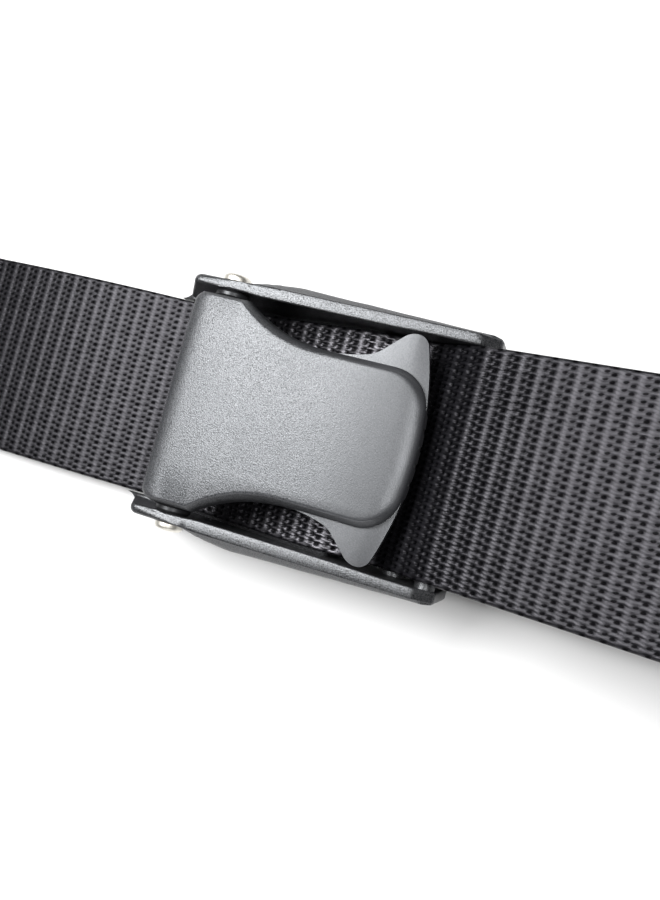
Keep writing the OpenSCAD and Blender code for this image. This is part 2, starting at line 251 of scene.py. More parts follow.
RUN_Z = FIX_BAR_Z + LOOP_R
TURN_X = X_RIGHT + 10 * MM
TURN_R = (RUN_Z - STRAP_T / 2) / 2
SEAM_X = X_RIGHT - 1 * MM
SEWN_END_X = TURN_X - 1 * MM
ROLL_X = X_LEFT - ROLL_AWAY
PAIR_T = 2 * (STRAP_T + ROLL_GAP)
ROLL_R = ROLL_CORE_R + (ROLL_HALVES - 1) * PAIR_T / 2
SWELL_X = PIN_X + HEAD_R + HEAD_CLEAR
SWELL_TOP = WALL_TOP - SWELL_DROP
SWELL_LOW = WALL_LOW + SWELL_FOOT

# Depth of the finest relief, and where along the lever its grain fades

GRAIN_H = 0.12 * MM
WEAVE_H = 0.3 * MM
WORN_X = (-6 * MM, 16 * MM)

# Camera, fitted to the photograph

PHOTO_W_PX = 660
FOCAL_PX = 900
CAMERA_PLACE = (57.35 * MM, -8.81 * MM, 212.77 * MM)
CAMERA_TURN = (radians(5.88), radians(14.46), radians(16.04))
SENSOR_W_MM = 36


# Shader helpers

def put(tree, kind, place, **settings):
    node = tree.nodes.new(kind)
    node.location = place
    for key, value in settings.items():
        setattr(node, key, value)
    return node


def math_node(tree, operation, a, b=None, c=None, place=(0, 0)):
    node = put(tree, "ShaderNodeMath", place, operation=operation)
    for i, value in enumerate((a, b, c)):
        if value is None:
            continue
        if isinstance(value, (int, float)):
            node.inputs[i].default_value = value
        else:
            tree.links.new(value, node.inputs[i])
    return node.outputs[0]


def ramp_up(tree, value, low, high, place=(0, 0)):
    """0 up to low, rising smoothly to 1 at high."""
    node = put(tree, "ShaderNodeMapRange", place, interpolation_type="SMOOTHSTEP")
    tree.links.new(value, node.inputs["Value"])
    node.inputs["From Min"].default_value = low
    node.inputs["From Max"].default_value = high
    return node.outputs["Result"]


def new_group(name, inputs, outputs):
    """A node group that takes a vector and numbers, each with its default, and gives numbers back."""
    group = bpy.data.node_groups.new(name, "ShaderNodeTree")
    group.interface.new_socket("Vector", in_out="INPUT", socket_type="NodeSocketVector")
    for label, value in inputs:
        socket = group.interface.new_socket(label, in_out="INPUT", socket_type="NodeSocketFloat")
        socket.default_value = value
    for label in outputs:
        group.interface.new_socket(label, in_out="OUTPUT", socket_type="NodeSocketFloat")
    start = put(group, "NodeGroupInput", (-900, 0))
    end = put(group, "NodeGroupOutput", (900, 0))
    return group, start, end


def moulded_grain_group():
    """Fine moulded grain: a speckle for the colour, a change of gloss and a height."""
    group, start, end = new_group("moulded_grain", [("Grain per metre", 1500.0), ("Contrast", 0.5)],
                                  ["Speckle", "Gloss", "Height"])
    pits = put(group, "ShaderNodeTexNoise", (-600, 200))
    pits.inputs["Detail"].default_value = 3
    pits.inputs["Roughness"].default_value = 0.6
    cells = put(group, "ShaderNodeTexVoronoi", (-600, -100))
    haze = put(group, "ShaderNodeTexNoise", (-600, -400))
    haze.inputs["Scale"].default_value = 60
    haze.inputs["Detail"].default_value = 4
    for node in (pits, cells, haze):
        group.links.new(start.outputs["Vector"], node.inputs["Vector"])
    group.links.new(start.outputs["Grain per metre"], pits.inputs["Scale"])
    group.links.new(start.outputs["Grain per metre"], cells.inputs["Scale"])
    fine = math_node(group, "SUBTRACT", pits.outputs["Fac"], 0.5, place=(-350, 200))
    bumps = math_node(group, "SUBTRACT", cells.outputs["Distance"], 0.35, place=(-350, -100))
    both = math_node(group, "MULTIPLY_ADD", bumps, -0.5, fine, place=(-150, 100))
    height = math_node(group, "ADD", both, 0.5, place=(100, 100))
    shade = math_node(group, "MULTIPLY", both, start.outputs["Contrast"], place=(100, 300))
    cloudy = math_node(group, "MULTIPLY_ADD", haze.outputs["Fac"], 0.16, 0.92, place=(100, -300))
    speckle = math_node(group, "ADD", shade, cloudy, place=(300, 300))
    gloss = math_node(group, "MULTIPLY_ADD", haze.outputs["Fac"], 0.14, -0.07, place=(300, -300))
    group.links.new(speckle, end.inputs["Speckle"])
    group.links.new(gloss, end.inputs["Gloss"])
    group.links.new(height, end.inputs["Height"])
    return group


def webbing_weave_group():
    """The ribbed weave, from a map that runs in metres along and across the strap.

    Each yarn dives once in a rib step, every other yarn lies lower and dives a third of a step later,
    and all of them sway a little from side to side."""
    group, start, end = new_group("webbing_weave", [("Rib", RIB_LIFT)], ["Float", "Height", "Fibre"])
    split = put(group, "ShaderNodeSeparateXYZ", (-700, 0))
    group.links.new(start.outputs["Vector"], split.inputs[0])
    step = math_node(group, "MULTIPLY", split.outputs[0], 1 / RIB_STEP, place=(-550, 200))
    turn = math_node(group, "MULTIPLY", step, 2 * pi, place=(-400, 350))
    sway = math_node(group, "SINE", turn, place=(-250, 350))
    straight = math_node(group, "MULTIPLY", split.outputs[1], 1 / YARN_STEP, place=(-550, -200))
    yarn = math_node(group, "MULTIPLY_ADD", sway, WANDER, straight, place=(-400, -100))
    number = math_node(group, "FLOOR", yarn, place=(-400, -200))
    odd = math_node(group, "MODULO", number, 2, place=(-250, -200))
    dip = math_node(group, "MULTIPLY_ADD", odd, ODD_DIP - EVEN_DIP, EVEN_DIP, place=(-100, -200))
    after = math_node(group, "SUBTRACT", step, dip, place=(-100, 200))
    away = math_node(group, "PINGPONG", after, 0.5, place=(50, 200))
    within = math_node(group, "FRACT", yarn, place=(-100, 0))
    middle = math_node(group, "SUBTRACT", within, 0.5, place=(50, 0))
    aside = math_node(group, "MULTIPLY", middle, middle, place=(200, 0))
    along = math_node(group, "MULTIPLY", away, away, place=(200, 200))
    reach = math_node(group, "MULTIPLY_ADD", along, DOT_ROUND, aside, place=(350, 100))
    up = ramp_up(group, reach, 0.04, 0.3, place=(500, 150))
    to_rib = math_node(group, "PINGPONG", step, 0.5, place=(50, 500))
    ridge = ramp_up(group, to_rib, 0.24, 0.04, place=(200, 500))
    fall = math_node(group, "MULTIPLY_ADD", aside, -1.4, 1, place=(500, 0))
    lower = math_node(group, "MULTIPLY_ADD", odd, -0.12, 0.62, place=(500, 350))
    level = math_node(group, "MULTIPLY_ADD", ridge, start.outputs["Rib"], lower, place=(600, 350))
    which = put(group, "ShaderNodeCombineXYZ", (-100, -350))
    group.links.new(number, which.inputs[0])
    group.links.new(math_node(group, "FLOOR", step, place=(-250, -350)), which.inputs[1])
    chance = put(group, "ShaderNodeTexWhiteNoise", (50, -350))
    group.links.new(which.outputs[0], chance.inputs["Vector"])
    uneven = math_node(group, "MULTIPLY_ADD", chance.outputs["Value"], 0.3, 0.85, place=(200, -350))
    full = math_node(group, "MULTIPLY_ADD", up, 0.72, 0.28, place=(600, 150))
    bead = math_node(group, "MULTIPLY", full, fall, place=(650, 150))
    even = math_node(group, "MULTIPLY", level, uneven, place=(700, 350))
    float_up = math_node(group, "MULTIPLY", bead, even, place=(750, 150))
    stretch = put(group, "ShaderNodeMapping", (-500, -500))
    stretch.inputs["Scale"].default_value = (1300, 9000, 1)
    group.links.new(start.outputs["Vector"], stretch.inputs["Vector"])
    fibres = put(group, "ShaderNodeTexNoise", (-250, -500))
    fibres.inputs["Scale"].default_value = 1
    fibres.inputs["Detail"].default_value = 2
    group.links.new(stretch.outputs[0], fibres.inputs["Vector"])
    group.links.new(float_up, end.inputs["Float"])
    group.links.new(fibres.outputs["Fac"], end.inputs["Fibre"])
    height = math_node(group, "MULTIPLY_ADD", float_up, 0.15, fibres.outputs["Fac"], place=(700, -100))
    group.links.new(height, end.inputs["Height"])
    return group


GRAIN = moulded_grain_group()
WEAVE = webbing_weave_group()


# Materials

def start_material(name):
    material = bpy.data.materials.new(name)
    material.use_nodes = True
    tree = material.node_tree
    shader = tree.nodes["Principled BSDF"]
    shader.location = (600, 0)
    tree.nodes["Material Output"].location = (900, 0)
    return material, tree, shader


def bump_into(tree, shader, height, strength, distance):
    node = put(tree, "ShaderNodeBump", (350, -300))
    node.inputs["Strength"].default_value = strength
    node.inputs["Distance"].default_value = distance
    tree.links.new(height, node.inputs["Height"])
    tree.links.new(node.outputs[0], shader.inputs["Normal"])


def multiplied(tree, colour, factor, place):
    """A colour, given or from a socket, made lighter or darker by a factor."""
    node = put(tree, "ShaderNodeMix", place, data_type="RGBA", blend_type="MULTIPLY")
    node.inputs["Factor"].default_value = 1
    if isinstance(colour, tuple):
        node.inputs[MIX_A].default_value = (*colour, 1)
    else:
        tree.links.new(colour, node.inputs[MIX_A])
    tree.links.new(factor, node.inputs[MIX_B])
    return node.outputs[MIX_OUT]


def grained(name, colour, roughness, grain, contrast, bump, specular=0.5, metallic=0, worn=None):
    """A material with the moulded grain in its colour, gloss and height; worn is where along X it fades."""
    material, tree, shader = start_material(name)
    where = put(tree, "ShaderNodeTexCoord", (-700, 0))
    group = put(tree, "ShaderNodeGroup", (-400, 0), node_tree=GRAIN)
    group.inputs["Grain per metre"].default_value = grain
    group.inputs["Contrast"].default_value = contrast
    tree.links.new(where.outputs["Object"], group.inputs["Vector"])
    tree.links.new(multiplied(tree, colour, group.outputs["Speckle"], (0, 200)), shader.inputs["Base Color"])
    gloss = math_node(tree, "ADD", group.outputs["Gloss"], roughness, place=(0, -50))
    tree.links.new(gloss, shader.inputs["Roughness"])
    height = group.outputs["Height"]
    if worn:
        split = put(tree, "ShaderNodeSeparateXYZ", (-1100, 200))
        tree.links.new(where.outputs["Object"], split.inputs[0])
        share_along_x = ramp_up(tree, split.outputs[0], *worn, place=(-900, 200))
        left = math_node(tree, "MULTIPLY_ADD", share_along_x, -0.7, 1, place=(-700, 200))
        fading = math_node(tree, "MULTIPLY", left, contrast, place=(-550, 200))
        tree.links.new(fading, group.inputs["Contrast"])
        height = math_node(tree, "MULTIPLY", height, left, place=(0, -300))
    bump_into(tree, shader, height, bump, GRAIN_H)
    shine = math_node(tree, "MULTIPLY", group.outputs["Speckle"], specular, place=(0, -150))
    tree.links.new(shine, shader.inputs["Specular IOR Level"])
    shader.inputs["Specular Tint"].default_value = (0.94, 0.965, 1, 1)
    shader.inputs["Metallic"].default_value = metallic
    return material


def nylon_webbing(name, bump):
    material, tree, shader = start_material(name)
    where = put(tree, "ShaderNodeUVMap", (-800, 0), uv_map="strap_run")
    group = put(tree, "ShaderNodeGroup", (-550, 0), node_tree=WEAVE)
    tree.links.new(where.outputs[0], group.inputs["Vector"])
    # Base colour from the yarns' height: near black where the yarns dive, painted shade in the dips; darker
    # on the lower yarns and lighter along the rib crests, painted shade and light; the rest is random tone
    # per bead and fibre.
    ramp = put(tree, "ShaderNodeValToRGB", (-250, 200))
    ramp.color_ramp.elements[0].color = (0.0005, 0.0005, 0.0006, 1)
    ramp.color_ramp.elements[1].color = (0.01, 0.0097, 0.0115, 1)
    middle = ramp.color_ramp.elements.new(0.45)
    middle.color = (0.0035, 0.0034, 0.0042, 1)
    tree.links.new(group.outputs["Float"], ramp.inputs[0])
    shade = math_node(tree, "MULTIPLY_ADD", group.outputs["Fibre"], 0.7, 0.65, place=(-250, -50))
    tree.links.new(multiplied(tree, ramp.outputs[0], shade, (50, 200)), shader.inputs["Base Color"])
    gloss = math_node(tree, "MULTIPLY_ADD", group.outputs["Fibre"], 0.16, 0.26, place=(50, -100))
    tree.links.new(gloss, shader.inputs["Roughness"])
    bump_into(tree, shader, group.outputs["Height"], bump, WEAVE_H)
    # The specular follows the same height and fades out where the yarns dive: painted shade that keeps the
    # dips from glinting.
    open_part = ramp_up(tree, group.outputs["Float"], 0.04, 0.5, place=(-250, -250))
    level = math_node(tree, "MULTIPLY_ADD", group.outputs["Float"], 0.28, 0.1, place=(-100, -350))
    # Painted sheen: under the lever the specular is raised up to 3.4 times and the ribs are flattened, so
    # the webbing there glints brighter than the lamps light it.
    share_along_x = put(tree, "ShaderNodeAttribute", (-900, -400), attribute_name="share_along_x")
    flatter = RIB_LIFT_UNDER_LEVER - RIB_LIFT
    rib = math_node(tree, "MULTIPLY_ADD", share_along_x.outputs["Fac"], flatter, RIB_LIFT, place=(-720, -300))
    tree.links.new(rib, group.inputs["Rib"])
    more = math_node(tree, "MULTIPLY_ADD", share_along_x.outputs["Fac"], PAINTED_SHEEN_UNDER_LEVER, 1, place=(-250, -450))
    level = math_node(tree, "MULTIPLY", level, more, place=(50, -350))
    shine = math_node(tree, "MULTIPLY", open_part, level, place=(50, -200))
    tree.links.new(shine, shader.inputs["Specular IOR Level"])
    shader.inputs["Specular Tint"].default_value = (0.94, 0.92, 1, 1)
    return material


LEVER_PLASTIC = grained("lever_plastic", (0.032, 0.033, 0.036), roughness=0.4, grain=3600, contrast=1.6,
                        bump=0.5, specular=1.15, worn=WORN_X)
FRAME_PLASTIC = grained("frame_plastic", (0.016, 0.0162, 0.0175), roughness=0.38, grain=3400, contrast=1.8,
                        bump=0.4, specular=1.15)
SPACER_PLASTIC = grained("spacer_plastic", (0.014, 0.014, 0.015), roughness=0.36, grain=900, contrast=0.2,
                         bump=0.02)
NICKEL = grained("bright_nickel", (0.8, 0.77, 0.7), roughness=0.42, grain=1500, contrast=0.1, bump=0.05,
                 metallic=1)
WEBBING = nylon_webbing("nylon_webbing", bump=0.2)


# Piece helpers

def place_mesh(mesh, name, body, material, node, sharp_degrees):
    piece = bpy.data.objects.new(name, mesh)
    bpy.context.scene.collection.objects.link(piece)
    mesh.materials.append(material)
    mesh.set_sharp_from_angle(angle=radians(sharp_degrees))
    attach(piece, body)
    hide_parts(node)


def as_mesh(bm, name):
    mesh = bpy.data.meshes.new(name)
    bm.to_mesh(mesh)
    bm.free()
    return mesh


def finish_piece(bm, name, body, material, node):
    bmesh.ops.recalc_face_normals(bm, faces=bm.faces)
    place_mesh(as_mesh(bm, name), name, body, material, node, sharp_degrees=40)


def join_into(bm, other):
    """Adds one mesh to another and frees it."""
    mesh = as_mesh(other, "joined")
    bm.from_mesh(mesh)
    bpy.data.meshes.remove(mesh)


def verts_of(geom):
    return [v for v in geom if isinstance(v, bmesh.types.BMVert)]


def lowest(part, axis):
    """The least coordinate of an edge or a face along an axis."""
    return min(v.co[axis] for v in part.verts)


def highest(part, axis):
    return max(v.co[axis] for v in part.verts)


def line_to(bm, start, x, y):
    end = bm.verts.new((x, y, 0))
    bm.edges.new((start, end))
    return end


def arc_to(bm, start, x, y, angle, steps):
    """Goes on from a vertex along an arc about (x, y); a positive angle turns from +X to +Y."""
    swept = bmesh.ops.spin(bm, geom=[start], cent=(x, y, 0), axis=(0, 0, 1), angle=angle, steps=steps)
    return verts_of(swept["geom_last"])[0]


def fill_outline(bm, last, first):
    bm.edges.new((last, first))
    bmesh.ops.contextual_create(bm, geom=bm.edges[:])


def mirrored_face(bm):
    """Closes a half outline over the belt's centre line and fills it."""
    bmesh.ops.mirror(bm, geom=bm.verts[:] + bm.edges[:], axis="Y", merge_dist=1e-6)
    bmesh.ops.remove_doubles(bm, verts=bm.verts, dist=1e-6)
    return bmesh.ops.contextual_create(bm, geom=bm.edges[:])["faces"][0]


def cut(bm, axis, place):
    """Adds a row of edges where a plane across an axis meets the faces."""
    normal = Vector((0, 0, 0))
    normal[axis] = 1
    geom = bm.verts[:] + bm.edges[:] + bm.faces[:]
    bmesh.ops.bisect_plane(bm, geom=geom, plane_co=normal * place, plane_no=normal, dist=1e-7)


def round_edges(bm, edges, radius, segments, clamp=False):
    bmesh.ops.bevel(bm, geom=edges, offset=radius, segments=segments, profile=0.5, affect="EDGES",
                    material=-1, clamp_overlap=clamp)


def draw_up(bm, height):
    """Extrudes every face straight up."""
    drawn = bmesh.ops.extrude_face_region(bm, geom=bm.faces[:])
    bmesh.ops.translate(bm, verts=verts_of(drawn["geom"]), vec=(0, 0, height))


def turn_up(bm, verts):
    """Turns vertices about X so that their Y becomes height."""
    bmesh.ops.rotate(bm, verts=verts, cent=(0, 0, 0), matrix=Matrix.Rotation(QUARTER, 3, "X"))


def drawn_across(bm, width):
    """Draws a face in X and Y out to a width, then turns it so that its Y becomes height."""
    draw_up(bm, width)
    bmesh.ops.translate(bm, verts=bm.verts, vec=(0, 0, -width / 2))
    turn_up(bm, bm.verts)
    bmesh.ops.recalc_face_normals(bm, faces=bm.faces)


def rod(bm, x, z, radius, width, edge_r=0.0, segments=40):
    made = bmesh.ops.create_cone(bm, cap_ends=True, segments=segments, radius1=radius, radius2=radius,
                                 depth=width)["verts"]
    turn_up(bm, made)
    bmesh.ops.translate(bm, verts=made, vec=(x, 0, z))
    if edge_r:
        own = set(made)
        rims = [e for e in bm.edges if e.verts[0] in own and highest(e, Y) - lowest(e, Y) < 1e-7]
        round_edges(bm, rims, edge_r, 3)


def smooth_between(value, low, high):
    """0 up to low, rising smoothly to 1 at high."""
    t = np.clip((value - low) / (high - low), 0, 1)
    return t * t * (3 - 2 * t)


# Strap

def arc_points(x, z, r, start, end, count):
    turns = [start + (end - start) * i / count for i in range(count + 1)]
    return [(x + r * cos(a), z + r * sin(a)) for a in turns]


def on_rise(x):
    """Height of the strap's middle on the straight line from the frame's mouth up to the tail."""
    return ENTRY_Z + (x - ENTRY_X) * tan(TAIL_RISE)


def fixed_end_path():
    """From the seam, round the fixing bar, out past the walls and round to below."""
    low = RUN_Z - STRAP_T - SEAM_GAP
    far = hypot(SEAM_X - FIX_BAR_X, low - FIX_BAR_Z)
    lean = atan2(low - FIX_BAR_Z, SEAM_X - FIX_BAR_X) - acos(LOOP_R / far)
    return ([(SEWN_END_X, low), (SEAM_X, low)]
            + arc_points(FIX_BAR_X, FIX_BAR_Z, LOOP_R, lean, -3 * QUARTER, 40)
            + arc_points(TURN_X, RUN_Z - TURN_R, TURN_R, QUARTER, -QUARTER, 40))


def under_run_path():
    return [(TURN_X, STRAP_T / 2), (ROLL_X, STRAP_T / 2)]


def roll_path():
    """In along the outer layer, round the fold at the core, and out along the inner layer."""
    outer, inner = [], []
    for k in range(ROLL_HALVES):
        odd = k % 2
        z = ROLL_R + odd * PAIR_T / 2
        outer_r = ROLL_R - k * PAIR_T / 2 - STRAP_T / 2
        start = QUARTER if odd else -QUARTER
        again = min(k, 1)
        outer += arc_points(ROLL_X, z, outer_r, start, start - pi, 36)[again:]
        inner += arc_points(ROLL_X, z, outer_r - PAIR_T / 2, start, start - pi, 36)[again:]
    fold_z = ROLL_R + ROLL_CORE_R - STRAP_T - ROLL_GAP / 2
    fold = arc_points(ROLL_X, fold_z, PAIR_T / 4, QUARTER, -QUARTER, 8)
    return outer + fold[1:-1] + inner[::-1]


def left_run_path():
    """Off the roll's top and in a low arch to the frame's mouth."""
    dip_x = MEET_X - DIP_R * sin(ENTRY_RISE)
    dip_z = MEET_Z + DIP_R * cos(ENTRY_RISE)
    low_z = dip_z - DIP_R * cos(ARCH_FALL)
    arch_r = (low_z - LIFT_Z) / (cos(ARCH_FALL) - cos(ARCH_RISE))
    arch_x = dip_x - (DIP_R + arch_r) * sin(ARCH_FALL)
    arch_z = low_z - arch_r * cos(ARCH_FALL)
    return ([(ROLL_X, LIFT_Z)]
            + arc_points(arch_x, arch_z, arch_r, QUARTER + ARCH_RISE, QUARTER - ARCH_FALL, 24)
            + arc_points(dip_x, dip_z, DIP_R, -QUARTER - ARCH_FALL, ENTRY_RISE - QUARTER, 6)[1:])


def tail_path():
    """Round the bend at the frame's mouth, up the floor plate, over the end bar and out.

    Between the plate and the bar the webbing hangs slack: level first, then steeply up to the bar."""
    turn = QUARTER + TAIL_RISE
    hub_x = SLACK_X + CREST_R * sin(TAIL_RISE)
    hub_z = on_rise(SLACK_X) - CREST_R * cos(TAIL_RISE)
    low_z = hub_z + CREST_R
    over_x = OVER_X + OVER_R * sin(TAIL_RISE)
    over_z = on_rise(OVER_X) - OVER_R * cos(TAIL_RISE)
    bar_x = over_x - OVER_R * sin(SLACK_RISE)
    bar_z = over_z + OVER_R * cos(SLACK_RISE)
    climb = (bar_z - low_z - SAG_R * (1 - cos(SLACK_RISE))) / tan(SLACK_RISE)
    low_x = bar_x - climb - SAG_R * sin(SLACK_RISE)
    end_x = X_RIGHT + TAIL_L
    bend_x = end_x + TAIL_BEND_R * sin(TAIL_RISE)
    bend_z = on_rise(end_x) - TAIL_BEND_R * cos(TAIL_RISE)
    return ([(MEET_X, MEET_Z)]
            + arc_points(BEND_X, BEND_Z, ENTRY_R, ENTRY_RISE - QUARTER, TAIL_RISE - QUARTER, 12)
            + arc_points(hub_x, hub_z, CREST_R, turn, QUARTER, 10)
            + arc_points(low_x, low_z + SAG_R, SAG_R, -QUARTER, SLACK_RISE - QUARTER, 10)
            + arc_points(over_x, over_z, OVER_R, QUARTER + SLACK_RISE, turn, 8)
            + arc_points(bend_x, bend_z, TAIL_BEND_R, turn, turn - TAIL_BEND, 30))


def path_length(path):
    p = np.array(path)
    return float(np.hypot(*(p[1:] - p[:-1]).T).sum())


def weave_height(u, v, seed, deep):
    """Height of the weave from 0, where a yarn dives, to 1; u and v in metres along and across.

    Where deep is 1 the ribs are worn down and the yarns dive further."""
    rng = np.random.default_rng(seed)
    slip = rng.normal(0, 0.015, YARNS)
    lift = rng.normal(1, 0.05, YARNS)
    height = np.zeros(len(u))
    step = u / RIB_STEP
    rib = 1 - smooth_between(np.abs(step - np.rint(step)), 0, 0.2)
    for beside in (-0.1, 0.1):
        yarn = v / YARN_STEP + WANDER * np.sin(2 * pi * step) + beside
        number = np.clip(np.floor(yarn).astype(int), 0, YARNS - 1)
        odd = number % 2
        after = step - np.where(odd == 1, ODD_DIP, EVEN_DIP) + slip[number]
        dip = 1 - smooth_between(np.abs(after - np.rint(after)), 0.02, 0.16)
        rounded = 1 - 1.4 * (yarn - number - 0.5) ** 2
        level = 0.75 - 0.1 * odd + (0.25 - 0.2 * deep) * rib - (0.5 + 0.2 * deep) * dip
        height += level * rounded * lift[number] / 2
    return height


def strap_rows(path, run_start, rows_per_rib):
    """The rows of webbing along a path: how far along, x, z and direction of each."""
    p = np.array(path)
    steps = p[1:] - p[:-1]
    where = np.concatenate([[0], np.cumsum(np.hypot(*steps.T))])
    rows = where
    if rows_per_rib:
        pitch = RIB_STEP / rows_per_rib
        first = ceil(run_start / pitch + 0.3) * pitch - run_start
        rows = np.concatenate([[0], np.arange(first, where[-1] - 0.3 * pitch, pitch), where[-1:]])
    direction = np.unwrap(np.arctan2(steps[:, 1], steps[:, 0]))
    angle = np.interp(rows, (where[1:] + where[:-1]) / 2, direction)
    return rows, np.interp(rows, where, p[:, 0]), np.interp(rows, where, p[:, 1]), angle


def strap_section(per_yarn, under_count):
    """Points once round the strap's section, as (across, up) from its middle."""
    half = STRAP_T / 2
    reach = STRAP_W / 2 - YARN_STEP
    bend = np.linspace(QUARTER, -QUARTER, 7)[1:-1]
    top = [(a, half) for a in np.linspace(-reach, reach, per_yarn * (YARNS - 2) + 1)]
    far = [(reach + YARN_STEP * cos(b), half * sin(b)) for b in bend]
    under = [(a, -half) for a in np.linspace(reach, -reach, under_count)]
    near = [(-across, up) for across, up in far[::-1]]
    return np.array(top + far + under + near + top[:1])


def strap_grid(name, count, around):
    """A flat grid as a mesh, with its vertices' row along the strap and point round its section."""
    bm = bmesh.new()
    bmesh.ops.create_grid(bm, x_segments=count, y_segments=around, size=1)
    mesh = as_mesh(bm, name)
    co = np.empty(len(mesh.vertices) * 3, np.float32)
    mesh.vertices.foreach_get("co", co)
    co = co.reshape(-1, 3)
    row = np.rint((co[:, X] + 1) / 2 * count).astype(int)
    point = np.rint((co[:, Y] + 1) / 2 * around).astype(int)
    return mesh, row, point


def strap_piece(name, path, run_start, rows_per_rib, per_yarn, under_count, relief, tail):
    """A length of webbing: a grid wrapped round the strap's section and drawn along its path."""
    rows, row_x, row_z, row_angle = strap_rows(path, run_start, rows_per_rib)
    section = strap_section(per_yarn, under_count)
    mesh, row, point = strap_grid(name, len(rows) - 1, len(section) - 1)
    s, x, z, angle = rows[row], row_x[row], row_z[row], row_angle[row]
    across, up = section[point].T
    u = run_start + s
    v = across + STRAP_W / 2
    side = np.sign(up)
    depth = relief * np.clip(np.abs(up) / (STRAP_T / 2) * 1.6 - 0.6, 0, 1)
    deep = np.zeros(len(s))
    if tail:
        deep = 1 - smooth_between(x, *DEEP_X)
        depth = depth * (1 + DEEPER * deep) * smooth_between(rows[-1] - s, 0, SEALED_L)
        across = across * SPREAD + DRIFT * smooth_between(x, *DRIFT_X)
    woven = weave_height(u + (side < 0) * RIB_STEP / 2, v, len(name), deep)
    out = up - side * depth * (1 - woven)
    co = np.stack([x - np.sin(angle) * out, across, z + np.cos(angle) * out], 1)
    mesh.vertices.foreach_set("co", co.astype(np.float32).ravel())
    if tail:
        # Share of the tail under the lever, where the shader paints extra sheen.
        share_along_x = mesh.attributes.new("share_along_x", "FLOAT", "POINT")
        share_along_x.data.foreach_set("value", (1 - smooth_between(x, *UNDER_LEVER_X)).astype(np.float32))
    layer = mesh.uv_layers.new(name="strap_run")
    corner = np.empty(len(mesh.loops), np.int32)
    mesh.loops.foreach_get("vertex_index", corner)
    layer.data.foreach_set("uv", np.stack([u[corner], v[corner]], 1).astype(np.float32).ravel())

    bm = bmesh.new()
    bm.from_mesh(mesh)
    bmesh.ops.remove_doubles(bm, verts=bm.verts, dist=1e-6)
    bmesh.ops.holes_fill(bm, edges=[e for e in bm.edges if e.is_boundary], sides=0)
    bmesh.ops.recalc_face_normals(bm, faces=bm.faces)
    bm.to_mesh(mesh)
    bm.free()
    place_mesh(mesh, name + "_webbing", "belt", WEBBING, name, sharp_degrees=60)


def whole_strap():
    """The five lengths of the strap, one after the other so that the weave runs on."""
    run = 0.0
    for name, path, rows, per_yarn, below, relief, tail in (
        ("strap_fixed_end", fixed_end_path(), 9, 1, 65, 0.25 * MM, False),
        ("strap_under_run", under_run_path(), 9, 1, 65, 0.25 * MM, False),
        ("strap_roll", roll_path(), 0, 1, 33, 0.1 * MM, False),
        ("strap_left_run", left_run_path(), 9, 3, 24, 0.3 * MM, False),
        ("strap_tail", tail_path(), 8, 4, 12, 0.3 * MM, True),
    ):
        strap_piece(name, path, run, rows, per_yarn, below, relief, tail)
        run += path_length(path)


# Lever

def hinge_end_outline(bm, inset, corner):
    """Half the hinge end, from its middle to where the scoop starts, and the scoop's opening angle."""
    edge = EDGE_Y - inset
    scoop_r = SCOOP_R + inset
    v = bm.verts.new((NOSE_X + inset, 0, 0))
    v = line_to(bm, v, NOSE_X + inset, edge - corner)
    v = arc_to(bm, v, NOSE_X + inset + corner, edge - corner, -QUARTER, 7)
    opening = acos((SCOOP_Y - edge) / scoop_r)
    v = line_to(bm, v, SCOOP_X - scoop_r * sin(opening), edge)
    return v, opening


def plate_outline(bm):
    """The lower level's outline: by the scoop and its neck out to the tab, and on along the tip."""
    v, opening = hinge_end_outline(bm, 0, NOSE_CORNER_R)
    v = arc_to(bm, v, SCOOP_X, SCOOP_Y, opening + SCOOP_TURN, 34)
    neck_x = SCOOP_X + (SCOOP_R - NECK_R) * sin(SCOOP_TURN)
    neck_y = SCOOP_Y - (SCOOP_R - NECK_R) * cos(SCOOP_TURN)
    turn = asin((TAB_Y - TAB_TIP_R) / (TIP_R - TAB_TIP_R))
    tab_x = TIP_HUB_X + (TIP_R - TAB_TIP_R) * cos(turn)
    back_y = TAB_Y - TAB_BACK_R
    apart = hypot(tab_x - neck_x, back_y - neck_y)
    rise = asin((NECK_R + TAB_BACK_R) / apart) - atan2(neck_y - back_y, tab_x - neck_x)
    v = arc_to(bm, v, neck_x, neck_y, rise - SCOOP_TURN, 8)
    v = line_to(bm, v, tab_x - TAB_BACK_R * sin(rise), back_y + TAB_BACK_R * cos(rise))
    v = arc_to(bm, v, tab_x, back_y, -rise, 8)
    v = arc_to(bm, v, tab_x, TAB_Y - TAB_TIP_R, turn - QUARTER, 8)
    arc_to(bm, v, TIP_HUB_X, 0, -turn, 14)
    mirrored_face(bm)


def back_outline(bm, inset):
    """The upper level's outline: by the scoop along the waist, and round the tip."""
    v, opening = hinge_end_outline(bm, inset, BACK_NOSE_CORNER_R)
    v = arc_to(bm, v, SCOOP_X, SCOOP_Y, opening, 26)
    turn = asin(BACK_CORNER_Y / (TIP_R - BACK_CORNER_R))
    v = line_to(bm, v, BACK_CORNER_X, WAIST - inset)
    v = arc_to(bm, v, BACK_CORNER_X, BACK_CORNER_Y, turn - QUARTER, 14)
    arc_to(bm, v, TIP_HUB_X, 0, -turn, 8)
    return mirrored_face(bm)


def hollow_below(bm):
    """Sinks two hollows into the plate's under face, either side of a middle web."""
    for x in HOLLOW_X:
        cut(bm, X, x)
    for y in HOLLOW_Y:
        cut(bm, Y, y)
        cut(bm, Y, -y)
    hollows = []
    for f in bm.faces:
        c = f.calc_center_median()
        inside = HOLLOW_X[0] < c.x < HOLLOW_X[1] and HOLLOW_Y[0] < abs(c.y) < HOLLOW_Y[1]
        if f.normal.z < -0.9 and inside:
            hollows.append(f)
    bmesh.ops.inset_region(bm, faces=hollows, thickness=HOLLOW_LEAN, depth=-HOLLOW_H, use_even_offset=True)


